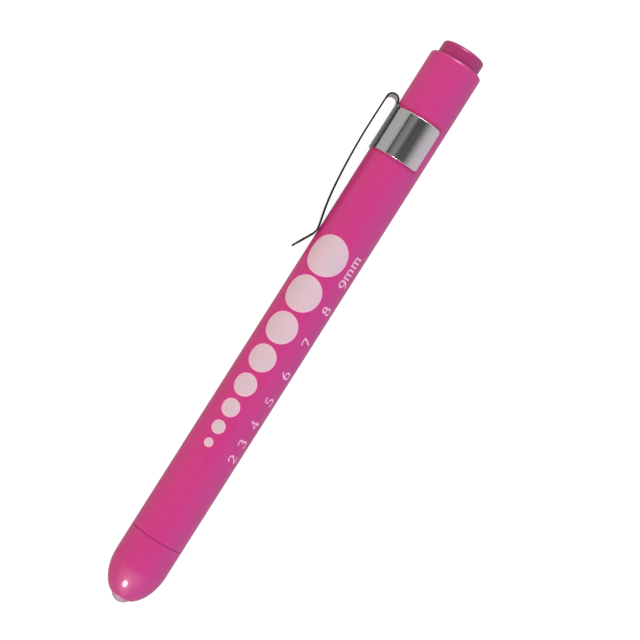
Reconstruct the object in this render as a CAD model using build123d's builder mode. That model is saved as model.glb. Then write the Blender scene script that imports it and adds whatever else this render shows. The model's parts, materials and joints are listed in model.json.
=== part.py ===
"""Pupil-gauge penlight: a two-cell pocket light with a screwed nose, a tail button and a spring clip.

Millimetres, +Z up. The pen's axis is X and its nose points towards +X. The origin is on that axis, in the
plane where the nose cap meets the barrel. The pen lies rolled over, so that the clip's band and one edge of
its arm are on the floor. Inner pieces follow each other from the nose to the tail, and their places are
worked out in that order.
"""

from build123d import *
from math import acos, atan2, cos, degrees, radians, tan
import os

os.makedirs("parts", exist_ok=True)

# ---------------------------------------------------------------- driving dimensions
free_play = 0.05            # gap that lets two neighbouring pieces go together or move
push_gap = 0.02             # gap of a push fit

# outer shape
pen_r = 6.0                 # barrel and nose outer radius
barrel_length = 116.85
bore_r = 5.4
edge_break = 0.26           # length of the small bevel on each side of the seam
edge_break_depth = 0.12
tail_round = 0.65
lip_length = 1.0            # inward lip that holds the button in
lip_r = 4.95

# nose cap
nose_straight = 6.1         # cylinder before the ogive starts
ogive_length = 8.825        # long half-axis of the ogive's ellipse
nose_length = 14.0
spigot_length = 5.6
spigot_r = 5.32
spigot_bore_r = 4.6

# light-emitting diode, 5 mm round type
led_r = 2.5
led_length = 8.7
led_flange_r = 2.9
led_flange = 1.0
led_stand_out = 1.44        # dome beyond the nose cap
lead_width = 0.5
lead_pitch = 2.54
post_length = 4.1           # lead frame inside the epoxy, from the base
cup_height = 1.1
cup_r = 0.5

# holder and board behind the diode
holder_r = 4.55
holder_wall = 0.8
holder_floor = 1.0
holder_pocket = 1.0         # recess over the board's components
board_r = 4.5
board_thickness = 1.0
lead_tail = 0.5             # lead ends inside the board's holes
lead_hole_r = 0.4
resistor_length, resistor_width, resistor_height = 1.6, 0.8, 0.45
rivet_head_r = 1.8
rivet_head = 0.9
rivet_r = 0.5
rivet_upset = 0.15          # turned-over end on the board's front

# cells, AAA size
cell_length = 44.5
can_r = 5.1
can_wall = 0.25
can_round = 0.5
crimp = 0.3                 # the can's edge stands this far in from the cell's end
sleeve = 0.15
cap_r = 1.9
cap_height = 1.0
seal_outer_r = 4.6
seal_inner_r = 3.6
end_recess = 1.2
end_round = 0.3

# switch in the tail
button_r = 4.85
button_stand_out = 3.2
button_wall = 0.7
button_round = 0.65
button_travel = 2.2
plunger_flange = 0.8
plunger_flange_r = 5.2
plunger_skirt_r = 3.6
plunger_skirt_bore = 2.6
plunger_length = 5.4        # from the flange's front face to the tooth tips
tooth_height = 0.8
tooth_width = 2.0
tooth_count = 8
tooth_engagement = 0.3
rotor_r = 3.45
rotor_length = 2.2          # from the tooth roots to the front face
rib_count = 4
rib_r = 4.25
rib_width = 1.1
rotor_lead_in = 0.6         # the ribs stop this far short of the rotor's front
plunger_lead_in = 1.0       # and the plunger's this far short of its tooth roots
slot_width = 1.5
housing_r = 5.38
housing_length = 12.25
housing_bore_r = 4.45
ridge_bore_r = 3.7
ridge_length = 5.4
housing_floor = 1.0
floor_hole_r = 1.75
pin_flange_r = 2.75
pin_flange = 0.3
pin_r = 1.0
pin_root_r = 0.8
pin_root = 1.6
pin_length = 4.4            # from the flange to the tip
washer_r = 3.6
washer = 0.4
tab_width = 2.0
contact_plate_r = 4.4
contact_plate_thickness = 0.4
collar_r = 1.55
collar_length = 0.8
wiper_clearance = 0.06

# springs
return_coil_r, return_wire_r, return_turns = 2.3, 0.2, 4
tail_coil_r, tail_wire_r, tail_turns = 3.2, 0.25, 4.5

# clip, one pressed sheet: a C-band, a hairpin at its tail edge and an arm back along the barrel
sheet = 0.38
clip_roll = 25.3            # degrees that the clip points below the horizontal
band_clearance = 0.02
band_front, band_back = -92.5, -102.4
band_half_angle = 136.0
band_corner = 0.8
clip_width = 5.6
neck_length = 0.63          # stretch where the band's curve flattens out
hairpin_r = 1.31
flex_gap = 0.2              # slit where the arm is free to turn about the hairpin's centre
arm_crown = (-96.5, 8.86)   # place along the pen and distance from its axis
arm_middle = (-86.0, 8.415)
arm_heel = (-75.5, 6.94)
heel_slope = 0.24
toe_x = -71.63
toe_bend_r = 3.3
toe_angle = 28.2
toe_end = -66.3
arm_clearance = 0.03
tip_corner = 1.4


# ---------------------------------------------------------------- places along the pen
barrel_front = -free_play
barrel_back = -barrel_length
dome_centre = nose_length + led_stand_out - led_r
led_base = dome_centre + led_r - led_length
board_back = -spigot_length
board_front = board_back + board_thickness
front_cap_x = board_back - rivet_head
rear_cap_x = front_cap_x - cell_length
cells_back = rear_cap_x - cell_length

flange_back = barrel_back + lip_length + free_play
flange_front = flange_back + plunger_flange
plunger_tips = flange_front + plunger_length
rotor_tips = plunger_tips - tooth_engagement
rotor_roots = rotor_tips + tooth_height
rotor_front = rotor_roots + rotor_length
housing_back = flange_front + button_travel + free_play
housing_front = housing_back + housing_length
ridge_front = housing_back + ridge_length
floor_back = housing_front - housing_floor
washer_back = floor_back - washer
pin_shoulder = rotor_front + pin_flange
plate_front = housing_front + contact_plate_thickness

# ---------------------------------------------------------------- barrel and nose
with BuildPart() as barrel:
    with BuildSketch(Plane.XZ):
        with BuildLine():
            Polyline(
                (barrel_front, bore_r),
                (barrel_front, pen_r - edge_break_depth),
                (barrel_front - edge_break, pen_r),
                (barrel_back, pen_r),
                (barrel_back, lip_r),
                (barrel_back + lip_length, lip_r),
                (barrel_back + lip_length, bore_r),
                close=True,
            )
        make_face()
    revolve(axis=Axis.X)
    tail_face = barrel.faces().filter_by(GeomType.PLANE).sort_by(Axis.X)[0]
    fillet(tail_face.outer_wire().edges(), tail_round)
barrel.part.label = "barrel"
export_step(barrel.part, "parts/barrel.step")

seat_r = led_r + free_play
flange_seat = led_base + led_flange + free_play
holder_seat = led_base + free_play
with BuildPart() as nose_cap:
    with BuildSketch(Plane.XZ):
        with BuildLine():
            ogive_end = degrees(acos((nose_length - nose_straight) / ogive_length))
            ogive = EllipticalCenterArc(
                (nose_straight, 0), ogive_length, pen_r, start_angle=ogive_end, arc_size=90 - ogive_end
            )
            mouth_angle = degrees(acos((nose_length - dome_centre) / seat_r))
            dome_seat = CenterArc((dome_centre, 0), seat_r, mouth_angle, 90 - mouth_angle)
            Line(ogive @ 0, dome_seat @ 0)
            Polyline(
                dome_seat @ 1,
                (flange_seat, seat_r),
                (flange_seat, led_flange_r + free_play),
                (holder_seat, led_flange_r + free_play),
                (holder_seat, spigot_bore_r),
                (-spigot_length, spigot_bore_r),
                (-spigot_length, spigot_r),
                (0, spigot_r),
                (0, pen_r - edge_break_depth),
                (edge_break, pen_r),
                ogive @ 1,
            )
        make_face()
    revolve(axis=Axis.X)
nose_cap.part.label = "nose_cap"
export_step(nose_cap.part, "parts/nose_cap.step")

# ---------------------------------------------------------------- light-emitting diode
lead_y = lead_pitch / 2
lead_end = board_front - lead_tail
post_top = led_base + post_length
lead_section = Plane.YZ.offset(lead_end)

with BuildPart() as led_anode:
    with BuildSketch(lead_section):
        with Locations((lead_y, 0)):
            Rectangle(lead_width, lead_width)
    extrude(amount=post_top - cup_height - lead_end)
    with BuildSketch(Plane.YZ.offset(post_top - cup_height)):
        with Locations((lead_y, 0)):
            Rectangle(1.5 * lead_width, lead_width)
    extrude(amount=cup_height)
led_anode.part.label = "led_anode"
export_step(led_anode.part, "parts/led_anode.step")

with BuildPart() as led_cathode:
    with BuildSketch(lead_section):
        with Locations((-lead_y, 0)):
            Rectangle(lead_width, lead_width)
    extrude(amount=post_top - cup_height - lead_end)
    cup_reach = lead_y + lead_width / 2 + 1.5 * cup_r
    with BuildSketch(Plane.YZ.offset(post_top - cup_height)):
        with Locations((1.5 * cup_r - cup_reach / 2, 0)):
            Rectangle(cup_reach, 3 * cup_r)
    extrude(amount=cup_height)
    with BuildSketch(Plane.YZ.offset(post_top)):
        Circle(cup_r)
    extrude(amount=-cup_height / 2, mode=Mode.SUBTRACT)
led_cathode.part.label = "led_cathode"
export_step(led_cathode.part, "parts/led_cathode.step")

with BuildPart() as led_die:
    with BuildSketch(Plane.YZ.offset(post_top - cup_height / 2)):
        Circle(cup_r - push_gap)
    extrude(amount=cup_height / 3)
led_die.part.label = "led_die"
export_step(led_die.part, "parts/led_die.step")

with BuildPart() as led_lens:
    with BuildSketch(Plane.XZ):
        with BuildLine():
            dome = CenterArc((dome_centre, 0), led_r, 0, 90)
            Polyline(
                dome @ 1,
                (led_base + led_flange, led_r),
                (led_base + led_flange, led_flange_r),
                (led_base, led_flange_r),
                (led_base, 0),
                dome @ 0,
            )
        make_face()
    revolve(axis=Axis.X)
    with BuildSketch(Plane.YZ.offset(led_base)):
        with Locations((-led_flange_r, 0)):
            Rectangle(2 * (led_flange_r - led_r), 2 * led_flange_r)
    extrude(amount=led_flange, mode=Mode.SUBTRACT)
    for inner in (led_anode, led_cathode, led_die):
        add(inner.part, mode=Mode.SUBTRACT)
    with BuildSketch(Plane.YZ.offset(post_top - cup_height / 2)):
        Circle(cup_r)
    extrude(amount=cup_height / 2, mode=Mode.SUBTRACT)
led_lens.part.label = "led_lens"
export_step(led_lens.part, "parts/led_lens.step")

# ---------------------------------------------------------------- holder and board behind the diode
with BuildPart() as led_holder:
    with BuildSketch(Plane.YZ.offset(board_front)):
        Circle(holder_r)
    extrude(amount=led_base - board_front)
    with BuildSketch(Plane.YZ.offset(board_front)):
        Circle(led_r)
    extrude(amount=led_base - board_front - holder_floor, mode=Mode.SUBTRACT)
    with BuildSketch(Plane.YZ.offset(board_front)):
        Circle(holder_r - holder_wall)
    extrude(amount=holder_pocket, mode=Mode.SUBTRACT)
    with BuildSketch(Plane.YZ.offset(led_base)):
        with Locations((lead_y, 0), (-lead_y, 0)):
            Circle(lead_hole_r)
    extrude(amount=-holder_floor, mode=Mode.SUBTRACT)
led_holder.part.label = "led_holder"
export_step(led_holder.part, "parts/led_holder.step")

with BuildPart() as led_board:
    with BuildSketch(Plane.YZ.offset(board_back)):
        Circle(board_r)
        with Locations((lead_y, 0), (-lead_y, 0)):
            Circle(lead_hole_r, mode=Mode.SUBTRACT)
        Circle(rivet_r, mode=Mode.SUBTRACT)
    extrude(amount=board_thickness)
led_board.part.label = "led_board"
export_step(led_board.part, "parts/led_board.step")

with BuildPart() as limit_resistor:
    with BuildSketch(Plane.YZ.offset(board_front)):
        with Locations((0, -led_r)):
            Rectangle(resistor_length, resistor_width)
    extrude(amount=resistor_height)
limit_resistor.part.label = "limit_resistor"
export_step(limit_resistor.part, "parts/limit_resistor.step")

with BuildPart() as front_contact:
    with BuildSketch(Plane.YZ.offset(front_cap_x)):
        Circle(rivet_head_r)
    extrude(amount=rivet_head)
    fillet(front_contact.faces().sort_by(Axis.X)[0].edges(), rivet_head / 3)
    with BuildSketch(Plane.YZ.offset(board_back)):
        Circle(rivet_r)
    extrude(amount=board_thickness + rivet_upset)
    with BuildSketch(Plane.YZ.offset(board_front)):
        Circle(1.4 * rivet_r)
    extrude(amount=rivet_upset)
front_contact.part.label = "front_contact"
export_step(front_contact.part, "parts/front_contact.step")

# ---------------------------------------------------------------- two cells
for cell, cap_x in (("front_cell", front_cap_x), ("rear_cell", rear_cap_x)):
    shoulder_x = cap_x - cap_height
    cell_back = cap_x - cell_length
    crimp_x = cell_back + crimp
    recess_x = cell_back + end_recess

    with BuildPart() as can:
        with BuildSketch(Plane.XZ):
            with BuildLine():
                Polyline(
                    (cap_x, 0),
                    (cap_x, cap_r),
                    (shoulder_x, cap_r),
                    (shoulder_x, can_r),
                    (crimp_x, can_r),
                    (crimp_x, seal_outer_r),
                    (recess_x, seal_outer_r),
                    (recess_x, can_r - can_wall),
                    (shoulder_x - can_wall, can_r - can_wall),
                    (shoulder_x - can_wall, cap_r - can_wall),
                    (cap_x - can_wall, cap_r - can_wall),
                    (cap_x - can_wall, 0),
                    close=True,
                )
            make_face()
        revolve(axis=Axis.X)
        rims = can.edges().filter_by(GeomType.CIRCLE).sort_by(Axis.X, reverse=True)
        fillet(rims[0], end_round)
        fillet(rims.filter_by(lambda e: abs(e.radius - can_r) < push_gap)[0], can_round)
    can.part.label = f"{cell}_can"
    export_step(can.part, f"parts/{cell}_can.step")

    with BuildPart() as core:
        with BuildSketch(Plane.YZ.offset(recess_x)):
            Circle(can_r - can_wall - push_gap)
        extrude(amount=shoulder_x - can_wall - push_gap - recess_x)
    core.part.label = f"{cell}_core"
    export_step(core.part, f"parts/{cell}_core.step")

    with BuildPart() as seal:
        with BuildSketch(Plane.YZ.offset(cell_back + crimp / 2)):
            Circle(seal_outer_r)
            Circle(seal_inner_r, mode=Mode.SUBTRACT)
        extrude(amount=end_recess - crimp / 2)
    seal.part.label = f"{cell}_seal"
    export_step(seal.part, f"parts/{cell}_seal.step")

    with BuildPart() as base:
        with BuildSketch(Plane.YZ.offset(cell_back)):
            Circle(seal_inner_r)
        extrude(amount=end_recess)
        fillet(base.faces().sort_by(Axis.X)[0].edges(), end_round)
    base.part.label = f"{cell}_base"
    export_step(base.part, f"parts/{cell}_base.step")

    with BuildPart() as jacket:
        with BuildSketch(Plane.YZ.offset(crimp_x)):
            Circle(can_r + sleeve)
            Circle(can_r, mode=Mode.SUBTRACT)
        extrude(amount=shoulder_x - can_round - crimp_x)
    jacket.part.label = f"{cell}_sleeve"
    export_step(jacket.part, f"parts/{cell}_sleeve.step")

# ---------------------------------------------------------------- push button and ratchet
with BuildPart() as button_cap:
    with BuildSketch(Plane.YZ.offset(barrel_back - button_stand_out)):
        Circle(button_r)
    extrude(amount=flange_back - barrel_back + button_stand_out)
    fillet(button_cap.faces().sort_by(Axis.X)[0].edges(), button_round)
    with BuildSketch(Plane.YZ.offset(flange_back)):
        Circle(button_r - button_wall)
    extrude(amount=barrel_back - button_stand_out + button_wall - flange_back, mode=Mode.SUBTRACT)
button_cap.part.label = "button_cap"
export_step(button_cap.part, "parts/button_cap.step")


def tooth_notches(tips, direction, turn):
    """V-shaped cutters for a ring of teeth, whose tips lie at `tips` and notches deepen along `direction`."""
    with BuildPart() as cutters:
        for k in range(tooth_count // 2):
            spoke = Vector(0, 1, 0).rotate(Axis.X, (k + turn) * 360 / tooth_count)
            with BuildSketch(Plane(origin=(tips, 0, 0), x_dir=(1, 0, 0), z_dir=spoke)):
                with BuildLine():
                    Polyline(
                        (-tooth_height * direction, tooth_width),
                        (tooth_height * direction, 0),
                        (-tooth_height * direction, -tooth_width),
                        close=True,
                    )
                make_face()
            extrude(amount=pen_r, both=True)
    return cutters.part


plunger_notches = tooth_notches(plunger_tips, -1, 0)
rotor_notches = tooth_notches(rotor_tips, 1, 0.5)

with BuildPart() as plunger:
    with BuildSketch(Plane.YZ.offset(flange_back)):
        Circle(plunger_flange_r)
    extrude(amount=plunger_flange)
    boss_height = flange_back - barrel_back + button_stand_out - button_wall - free_play
    with BuildSketch(Plane.YZ.offset(flange_back)):
        Circle(button_r - button_wall - push_gap)
    extrude(amount=-boss_height)
    with BuildSketch(Plane.YZ.offset(flange_front)):
        Circle(plunger_skirt_r)
    extrude(amount=plunger_length)
    with BuildSketch(Plane.YZ.offset(flange_front)):
        with PolarLocations(rib_r / 2, rib_count):
            Rectangle(rib_r, rib_width)
    extrude(amount=plunger_length - tooth_height - plunger_lead_in)
    with BuildSketch(Plane.YZ.offset(plunger_tips)):
        Circle(plunger_skirt_bore)
    extrude(amount=-plunger_length, mode=Mode.SUBTRACT)
    add(plunger_notches, mode=Mode.SUBTRACT)
plunger.part.label = "plunger"
export_step(plunger.part, "parts/plunger.step")

with BuildPart() as rotor:
    with BuildSketch(Plane.YZ.offset(rotor_tips)):
        Circle(rotor_r)
        Circle(plunger_skirt_bore, mode=Mode.SUBTRACT)
    extrude(amount=tooth_height)
    add(rotor_notches, mode=Mode.SUBTRACT)
    with BuildSketch(Plane.YZ.offset(rotor_roots)):
        Circle(rotor_r)
    extrude(amount=rotor_length)
    with BuildSketch(Plane.YZ.offset(rotor_roots)):
        with PolarLocations(rib_r / 2, rib_count):
            Rectangle(rib_r, rib_width)
    extrude(amount=rotor_length - rotor_lead_in)
    with BuildSketch(Plane.YZ.offset(rotor_front)):
        Circle(pin_root_r)
    extrude(amount=-pin_root, mode=Mode.SUBTRACT)
rotor.part.label = "rotor"
export_step(rotor.part, "parts/rotor.step")

with BuildPart() as contact_pin:
    with BuildSketch(Plane.YZ.offset(rotor_front)):
        Circle(pin_flange_r)
    extrude(amount=pin_flange)
    with BuildSketch(Plane.YZ.offset(pin_shoulder)):
        Circle(pin_r)
    extrude(amount=pin_length)
    fillet(contact_pin.faces().sort_by(Axis.X)[-1].edges(), pin_r / 2)
    with BuildSketch(Plane.YZ.offset(rotor_front)):
        Circle(pin_root_r)
    extrude(amount=-pin_root)
contact_pin.part.label = "contact_pin"
export_step(contact_pin.part, "parts/contact_pin.step")

with BuildPart() as ground_clip:
    with BuildSketch(Plane.YZ.offset(washer_back)):
        with Locations((bore_r / 2, 0)):
            Rectangle(bore_r, tab_width)
        Circle(bore_r, mode=Mode.INTERSECT)
        Circle(washer_r)
        Circle(floor_hole_r, mode=Mode.SUBTRACT)
    extrude(amount=washer)
ground_clip.part.label = "ground_clip"
export_step(ground_clip.part, "parts/ground_clip.step")

with BuildPart() as switch_housing:
    with BuildSketch(Plane.YZ.offset(housing_back)):
        Circle(housing_r)
    extrude(amount=housing_length)
    with BuildSketch(Plane.YZ.offset(housing_back)):
        Circle(ridge_bore_r)
        with PolarLocations(housing_bore_r / 2, rib_count):
            Rectangle(housing_bore_r, slot_width)
    extrude(amount=ridge_length, mode=Mode.SUBTRACT)
    with BuildSketch(Plane.YZ.offset(ridge_front)):
        Circle(housing_bore_r)
    extrude(amount=floor_back - ridge_front, mode=Mode.SUBTRACT)
    with BuildSketch(Plane.YZ.offset(housing_front)):
        Circle(floor_hole_r)
    extrude(amount=-housing_floor, mode=Mode.SUBTRACT)
    add(ground_clip.part, mode=Mode.SUBTRACT)
switch_housing.part.label = "switch_housing"
export_step(switch_housing.part, "parts/switch_housing.step")

with BuildPart() as contact_plate:
    with BuildSketch(Plane.YZ.offset(housing_front)):
        Circle(contact_plate_r)
    extrude(amount=contact_plate_thickness)
    with BuildSketch(Plane.YZ.offset(housing_front)):
        Circle(collar_r)
    extrude(amount=-collar_length)
    with BuildSketch(Plane.YZ.offset(plate_front)):
        Circle(pin_r + wiper_clearance)
    extrude(amount=-contact_plate_thickness - collar_length, mode=Mode.SUBTRACT)
contact_plate.part.label = "contact_plate"
export_step(contact_plate.part, "parts/contact_plate.step")


springs = (
    ("return_spring", pin_shoulder, washer_back, return_coil_r, return_wire_r, return_turns),
    ("tail_spring", plate_front, cells_back, tail_coil_r, tail_wire_r, tail_turns),
)
for name, back, front, coil_r, wire_r, turns in springs:
    height = front - back - 2 * wire_r
    with BuildPart() as spring:
        with BuildLine() as coil:
            Helix(height / turns, height, coil_r, center=(back + wire_r, 0, 0), direction=(1, 0, 0))
        with BuildSketch(Plane(origin=coil.line @ 0, z_dir=coil.line % 0)):
            Circle(wire_r)
        sweep(path=coil.line, is_frenet=True)
    spring.part.label = name
    export_step(spring.part, f"parts/{name}.step")

# ---------------------------------------------------------------- clip
clip_direction = Vector(0, -1, 0).rotate(Axis.X, clip_roll)
side_view = Plane(origin=(0, 0, 0), x_dir=(1, 0, 0), z_dir=Vector(1, 0, 0).cross(clip_direction))
across = Plane(origin=(band_back, 0, 0), x_dir=clip_direction, z_dir=(1, 0, 0))
band_in = pen_r + band_clearance
band_mid = band_in + sheet / 2
band_out = band_in + sheet
hairpin_x = band_back - neck_length
hairpin_centre = (hairpin_x, band_mid + hairpin_r)

with BuildPart() as clip_band:
    with BuildSketch(across):
        with BuildLine():
            outer = CenterArc((0, 0), band_out, -band_half_angle, 2 * band_half_angle)
            inner = CenterArc((0, 0), band_in, -band_half_angle, 2 * band_half_angle)
            Line(outer @ 0, inner @ 0)
            Line(outer @ 1, inner @ 1)
        make_face()
    extrude(amount=band_front - band_back)
    free_corners = clip_band.edges().filter_by(GeomType.LINE).filter_by(lambda e: e.length < 1.01 * sheet)
    fillet(free_corners, band_corner)
    neck_half_angle = degrees(clip_width / 2 / band_mid)
    with BuildSketch(across) as neck_root:
        with BuildLine():
            outer = CenterArc((0, 0), band_out, -neck_half_angle, 2 * neck_half_angle)
            inner = CenterArc((0, 0), band_in, -neck_half_angle, 2 * neck_half_angle)
            Line(outer @ 0, inner @ 0)
            Line(outer @ 1, inner @ 1)
        make_face()
    with BuildSketch(across.offset(-neck_length)) as neck_end:
        with Locations((band_mid, 0)):
            Rectangle(sheet, clip_width)
    loft()
    with BuildSketch(side_view):
        with BuildLine():
            bend_angle = 180 - degrees(flex_gap / hairpin_r)
            CenterArc(hairpin_centre, hairpin_r, 270, -bend_angle)
        trace(line_width=sheet)
    extrude(amount=clip_width / 2, both=True)
clip_band.part.label = "clip_band"
export_step(clip_band.part, "parts/clip_band.step")

toe_closest = pen_r + arm_clearance + sheet / 2
toe_turn = radians(toe_angle) + atan2(arm_heel[1] - toe_closest, toe_x - arm_heel[0])
toe = (toe_x, toe_closest - toe_bend_r * (1 / cos(toe_turn / 2) - 1))
with BuildPart() as clip_arm:
    with BuildSketch(side_view):
        with BuildLine():
            arm_root = (hairpin_x, hairpin_centre[1] + hairpin_r)
            toe_tip = (toe_end, toe[1] + (toe_end - toe_x) * tan(radians(toe_angle)))
            bow = Spline(arm_root, arm_crown, arm_middle, arm_heel, tangents=[(1, 0), (1, -heel_slope)])
            FilletPolyline(bow @ 1, toe, toe_tip, radius=toe_bend_r)
        trace(line_width=sheet)
    extrude(amount=clip_width / 2, both=True)
    tip_edges = clip_arm.edges().filter_by(lambda e: e.length < 1.01 * sheet).sort_by(Axis.X)[-2:]
    fillet(tip_edges, tip_corner)
clip_arm.part.label = "clip_arm"
export_step(clip_arm.part, "parts/clip_arm.step")
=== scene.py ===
"""Pupil-gauge penlight: the finished look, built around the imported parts.

The pen's axis is X and its nose points towards +X. Lengths are in metres, through the factor mm, and angles
round the pen are measured in the YZ plane from +Y towards +Z, as the arctangent of z over y.
"""

import math

import bmesh
import bpy
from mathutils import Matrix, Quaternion, Vector, geometry
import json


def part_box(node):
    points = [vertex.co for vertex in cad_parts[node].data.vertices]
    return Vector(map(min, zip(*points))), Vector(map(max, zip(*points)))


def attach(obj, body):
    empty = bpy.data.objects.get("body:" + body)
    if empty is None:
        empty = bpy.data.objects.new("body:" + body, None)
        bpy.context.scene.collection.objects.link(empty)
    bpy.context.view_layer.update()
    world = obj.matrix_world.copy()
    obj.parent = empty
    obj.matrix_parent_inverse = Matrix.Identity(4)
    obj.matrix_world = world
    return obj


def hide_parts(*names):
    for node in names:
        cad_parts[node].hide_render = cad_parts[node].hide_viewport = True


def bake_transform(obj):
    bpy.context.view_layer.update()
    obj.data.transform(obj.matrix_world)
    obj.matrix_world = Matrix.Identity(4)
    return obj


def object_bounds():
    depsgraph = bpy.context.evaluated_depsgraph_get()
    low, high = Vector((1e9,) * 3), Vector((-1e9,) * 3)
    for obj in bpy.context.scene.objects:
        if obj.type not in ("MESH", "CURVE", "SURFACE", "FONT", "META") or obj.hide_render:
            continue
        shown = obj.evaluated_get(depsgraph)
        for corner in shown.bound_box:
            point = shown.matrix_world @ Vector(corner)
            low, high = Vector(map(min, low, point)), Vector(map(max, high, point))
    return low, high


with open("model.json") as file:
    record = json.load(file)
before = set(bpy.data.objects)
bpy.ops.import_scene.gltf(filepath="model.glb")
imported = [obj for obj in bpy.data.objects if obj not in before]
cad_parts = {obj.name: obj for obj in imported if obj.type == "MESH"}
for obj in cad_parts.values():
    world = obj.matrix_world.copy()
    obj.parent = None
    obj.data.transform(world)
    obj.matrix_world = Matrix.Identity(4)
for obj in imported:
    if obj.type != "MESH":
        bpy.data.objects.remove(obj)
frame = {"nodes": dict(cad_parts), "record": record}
cad_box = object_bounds()

mm = 0.001
pi = math.pi


# ---------------------------------------------------------------- places taken from the frame
def ends(node):
    """A node's lowest and highest place along the pen, and its largest distance from the axis."""
    low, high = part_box(node)
    reach = max(math.hypot(v.co.y, v.co.z) for v in frame["nodes"][node].data.vertices)
    return low.x, high.x, reach


mounts = {mount["name"]: mount for mount in frame["record"]["mounts"]}
clip_axis = Vector(mounts["pocket_clip"]["axis"])
clip_angle = math.atan2(clip_axis.z, clip_axis.y) % (2 * pi)
barrel_back, barrel_front, pen_r = ends("barrel")
button_back, button_front, button_r = ends("button_cap")
nose_back, nose_front, _ = ends("nose_cap")
lens_back, lens_front, lens_flange_r = ends("led_lens")
floor_z = cad_box[0].z


# ---------------------------------------------------------------- camera
camera_azimuth = math.radians(3.385)
camera_elevation = math.radians(62.559)
camera_roll = math.radians(119.339)
camera_distance = 365 * mm
camera_aim = Vector((-56.32, 3.924, 2.023)) * mm
backward = Vector((
    math.sin(camera_azimuth) * math.cos(camera_elevation),
    -math.cos(camera_azimuth) * math.cos(camera_elevation),
    math.sin(camera_elevation),
))
camera_data = bpy.data.cameras.new("camera")
camera_data.sensor_width = 36
camera_data.lens = 98.4
camera_data.clip_start = 10 * mm
camera = bpy.data.objects.new("camera", camera_data)
bpy.context.scene.collection.objects.link(camera)
camera.rotation_mode = "QUATERNION"
camera.location = camera_aim + backward * camera_distance
camera.rotation_quaternion = (-backward).to_track_quat("-Z", "Y") @ Quaternion((0, 0, 1), camera_roll)
bpy.context.scene.camera = camera


# ---------------------------------------------------------------- mesh tools
sharp_from = math.radians(35)
beside_arc = 1.25


def piece(name, mesh_builder, body, materials, replaces=()):
    """Makes one object of a bmesh, rides it on its body and hides the CAD nodes that it stands for."""
    mesh = bpy.data.meshes.new(name)
    bmesh.ops.recalc_face_normals(mesh_builder, faces=mesh_builder.faces)
    mesh_builder.to_mesh(mesh)
    mesh_builder.free()
    mesh.shade_smooth()
    mesh.set_sharp_from_angle(angle=sharp_from)
    made = bpy.data.objects.new(name, mesh)
    bpy.context.scene.collection.objects.link(made)
    for material in materials:
        mesh.materials.append(material)
    if body:
        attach(made, body)
    if replaces:
        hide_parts(*replaces)
    return made


def rounded_corner(before, here, after, radius, steps):
    """The arc that rounds a corner, the unit vectors that lead away along both sides, and the arc's reach."""
    back, on = (before - here).normalized(), (after - here).normalized()
    half = back.angle(on) / 2
    reach = radius / math.tan(half)
    centre = here + (back + on).normalized() * (radius / math.sin(half))
    first, last = (here + back * reach - centre).normalized(), (here + on * reach - centre).normalized()
    arc_points = [centre + first.slerp(last, i / steps) * radius for i in range(steps + 1)]
    return arc_points, back, on, reach


def rounded(corners, steps=6):
    """A closed outline of (x, r) points with its corners, given as (x, r, radius), turned into arcs.

    A point just outside each arc keeps the long straight stretches shading flat.
    """
    outline = []
    count = len(corners)
    for k, (x, r, radius) in enumerate(corners):
        here = Vector((x, r))
        if not radius:
            outline.append(here)
            continue
        before, after = Vector(corners[k - 1][:2]), Vector(corners[(k + 1) % count][:2])
        bend, back, on, reach = rounded_corner(before, here, after, radius, steps)
        outline += [here + back * reach * beside_arc, *bend, here + on * reach * beside_arc]
    return [(p[0], p[1]) for p in outline]


def lathe(outline, segments=192, shape=None, bare=range(0)):
    """Turns a closed outline of (x, r) points about the pen's axis.

    shape(x, r, angle) may change a radius. The stretches numbered in bare take the second material.
    """
    turned = bmesh.new()
    rings = []
    for x, r in outline:
        if r < 0.001 * mm:
            rings.append([turned.verts.new((x, 0, 0))] * segments)
            continue
        ring = []
        for i in range(segments):
            angle = 2 * pi * i / segments
            radius = shape(x, r, angle) if shape else r
            ring.append(turned.verts.new((x, radius * math.cos(angle), radius * math.sin(angle))))
        rings.append(ring)
    for k, (here, there) in enumerate(zip(rings, rings[1:] + rings[:1])):
        for i in range(segments):
            j = (i + 1) % segments
            corners = list(dict.fromkeys((here[i], there[i], there[j], here[j])))
            if len(corners) > 2:
                turned.faces.new(corners).material_index = 1 if k in bare else 0
    return turned


def steps_between(start, end, count):
    """Evenly spaced values from start to end, both included."""
    return [start + (end - start) * i / count for i in range(count + 1)]


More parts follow.
